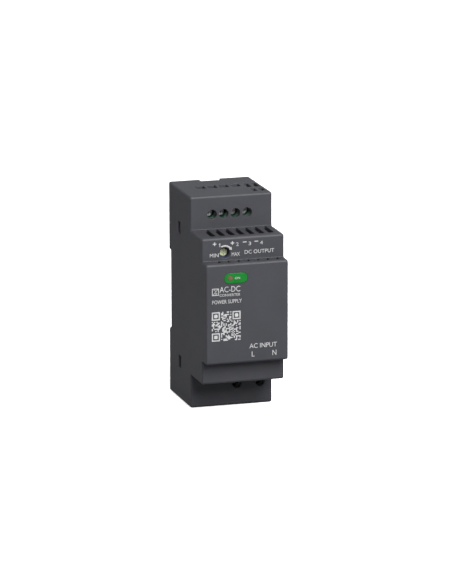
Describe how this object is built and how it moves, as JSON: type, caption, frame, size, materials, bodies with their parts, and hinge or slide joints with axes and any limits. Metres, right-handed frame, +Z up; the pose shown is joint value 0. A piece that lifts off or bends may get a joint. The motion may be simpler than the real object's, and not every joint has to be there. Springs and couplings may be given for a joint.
{
  "type": "din rail power supply",
  "caption": "Stepped moulded case that clips on a 35 mm top-hat rail, with screw clamps behind round holes at both ends, a trimmer and a status window.",
  "frame": {"origin": "middle of the rail seat: the face that rests on the rail, on the rail's centre line", "axes": "+Z up the case, towards the output clamps; +Y towards the wall; +X to the right as seen from the front"},
  "size_m": [0.0358, 0.0556, 0.091],
  "materials": {
    "case_plastic": "satin dark grey moulded housing",
    "base_plastic": "satin dark grey moulded base",
    "latch_plastic": "satin black latch",
    "spring_steel": "drawn spring wire",
    "window_green": "printed green window",
    "clear_plastic": "clear light pipe over an unlit lamp",
    "terminal_green": "green terminal moulding",
    "screw_steel": "zinc-plated steel",
    "clamp_steel": "zinc-plated strip",
    "contact_brass": "tinned brass",
    "board_green": "solder-masked laminate",
    "insulating_film": "insulating film",
    "trimmer_blue": "trimmer body",
    "rotor_cream": "trimmer rotor",
    "led_body": "tinted lamp body",
    "black_moulding": "epoxy moulding",
    "film_yellow": "film capacitor case",
    "disc_blue": "dipped coating",
    "disc_green": "dipped coating",
    "ferrite": "ferrite",
    "copper_wire": "enamelled copper wire",
    "can_sleeve": "capacitor sleeve",
    "sink_aluminium": "bare sheet",
    "bobbin_brown": "phenolic bobbin",
    "winding_tape": "winding tape"
  },
  "bodies": {
    "case": {"front_housing": "case_plastic", "rear_base": "base_plastic", "latch_spring": "spring_steel", "status_window": "window_green", "light_pipe": "clear_plastic", "output_terminal_block": "terminal_green", "input_terminal_block": "terminal_green", "output_contact_1": "contact_brass", "output_contact_2": "contact_brass", "output_contact_3": "contact_brass", "output_contact_4": "contact_brass", "input_contact_line": "contact_brass", "input_contact_neutral": "contact_brass", "main_board": "board_green", "control_board": "board_green", "insulating_sheet": "insulating_film", "trimmer_body": "trimmer_blue", "status_led": "led_body", "input_fuse": "black_moulding", "switching_transistor": "black_moulding", "output_rectifier": "black_moulding", "bridge_rectifier": "black_moulding", "optocoupler": "black_moulding", "control_chip": "black_moulding", "reference_chip": "black_moulding", "board_header": "black_moulding", "x_capacitor": "film_yellow", "varistor": "disc_blue", "y_capacitor": "disc_blue", "thermistor": "disc_green", "choke_core": "ferrite", "output_inductor": "ferrite", "transformer_core": "ferrite", "choke_winding_line": "copper_wire", "choke_winding_neutral": "copper_wire", "bulk_capacitor": "can_sleeve", "output_capacitor": "can_sleeve", "primary_heatsink": "sink_aluminium", "secondary_heatsink": "sink_aluminium", "primary_heatsink_screw": "screw_steel", "secondary_heatsink_screw": "screw_steel", "transformer_bobbin": "bobbin_brown", "transformer_winding": "winding_tape"},
    "latch": {"rail_latch": "latch_plastic"},
    "trimmer": {"trimmer_rotor": "rotor_cream"},
    "output_screw_1_body": {"output_screw_1": "screw_steel"},
    "output_cage_1_body": {"output_cage_1": "clamp_steel"},
    "output_screw_2_body": {"output_screw_2": "screw_steel"},
    "output_cage_2_body": {"output_cage_2": "clamp_steel"},
    "output_screw_3_body": {"output_screw_3": "screw_steel"},
    "output_cage_3_body": {"output_cage_3": "clamp_steel"},
    "output_screw_4_body": {"output_screw_4": "screw_steel"},
    "output_cage_4_body": {"output_cage_4": "clamp_steel"},
    "input_screw_line_body": {"input_screw_line": "screw_steel"},
    "input_cage_line_body": {"input_cage_line": "clamp_steel"},
    "input_screw_neutral_body": {"input_screw_neutral": "screw_steel"},
    "input_cage_neutral_body": {"input_cage_neutral": "clamp_steel"}
  },
  "joints": [
    {"name": "latch_slide", "type": "slide", "parent": "case", "child": "latch", "axis": [0, 0, -1], "range_m": [0, 0.0035], "stiffness_N_per_m": 800, "springref_m": -0.0015, "deforming": ["latch_spring"]},
    {"name": "trimmer_turn", "type": "hinge", "parent": "case", "child": "trimmer", "pos_m": [-0.0079, -0.0437, 0.0246], "axis": [0, 1, 0], "range_deg": [-130, 130]},
    {"name": "output_screw_1_turn", "type": "hinge", "parent": "case", "child": "output_screw_1_body", "pos_m": [-0.00829, -0.0224, 0.0374], "axis": [0, 1, 0], "range_deg": [0, 1800]},
    {"name": "output_cage_1_lift", "type": "slide", "parent": "case", "child": "output_cage_1_body", "axis": [0, -1, 0], "range_m": [0, 0.00225]},
    {"name": "output_screw_2_turn", "type": "hinge", "parent": "case", "child": "output_screw_2_body", "pos_m": [-0.00321, -0.0224, 0.0374], "axis": [0, 1, 0], "range_deg": [0, 1800]},
    {"name": "output_cage_2_lift", "type": "slide", "parent": "case", "child": "output_cage_2_body", "axis": [0, -1, 0], "range_m": [0, 0.00225]},
    {"name": "output_screw_3_turn", "type": "hinge", "parent": "case", "child": "output_screw_3_body", "pos_m": [0.00187, -0.0224, 0.0374], "axis": [0, 1, 0], "range_deg": [0, 1800]},
    {"name": "output_cage_3_lift", "type": "slide", "parent": "case", "child": "output_cage_3_body", "axis": [0, -1, 0], "range_m": [0, 0.00225]},
    {"name": "output_screw_4_turn", "type": "hinge", "parent": "case", "child": "output_screw_4_body", "pos_m": [0.00695, -0.0224, 0.0374], "axis": [0, 1, 0], "range_deg": [0, 1800]},
    {"name": "output_cage_4_lift", "type": "slide", "parent": "case", "child": "output_cage_4_body", "axis": [0, -1, 0], "range_m": [0, 0.00225]},
    {"name": "input_screw_line_turn", "type": "hinge", "parent": "case", "child": "input_screw_line_body", "pos_m": [0.00233, -0.0224, -0.036], "axis": [0, 1, 0], "range_deg": [0, 1800]},
    {"name": "input_cage_line_lift", "type": "slide", "parent": "case", "child": "input_cage_line_body", "axis": [0, -1, 0], "range_m": [0, 0.00225]},
    {"name": "input_screw_neutral_turn", "type": "hinge", "parent": "case", "child": "input_screw_neutral_body", "pos_m": [0.01249, -0.0224, -0.036], "axis": [0, 1, 0], "range_deg": [0, 1800]},
    {"name": "input_cage_neutral_lift", "type": "slide", "parent": "case", "child": "input_cage_neutral_body", "axis": [0, -1, 0], "range_m": [0, 0.00225]}
  ],
  "couplings": [
    {"joint": "output_screw_1_turn", "follows": "output_cage_1_lift", "rad_per_m": 13963},
    {"joint": "output_screw_2_turn", "follows": "output_cage_2_lift", "rad_per_m": 13963},
    {"joint": "output_screw_3_turn", "follows": "output_cage_3_lift", "rad_per_m": 13963},
    {"joint": "output_screw_4_turn", "follows": "output_cage_4_lift", "rad_per_m": 13963},
    {"joint": "input_screw_line_turn", "follows": "input_cage_line_lift", "rad_per_m": 13963},
    {"joint": "input_screw_neutral_turn", "follows": "input_cage_neutral_lift", "rad_per_m": 13963}
  ]
}
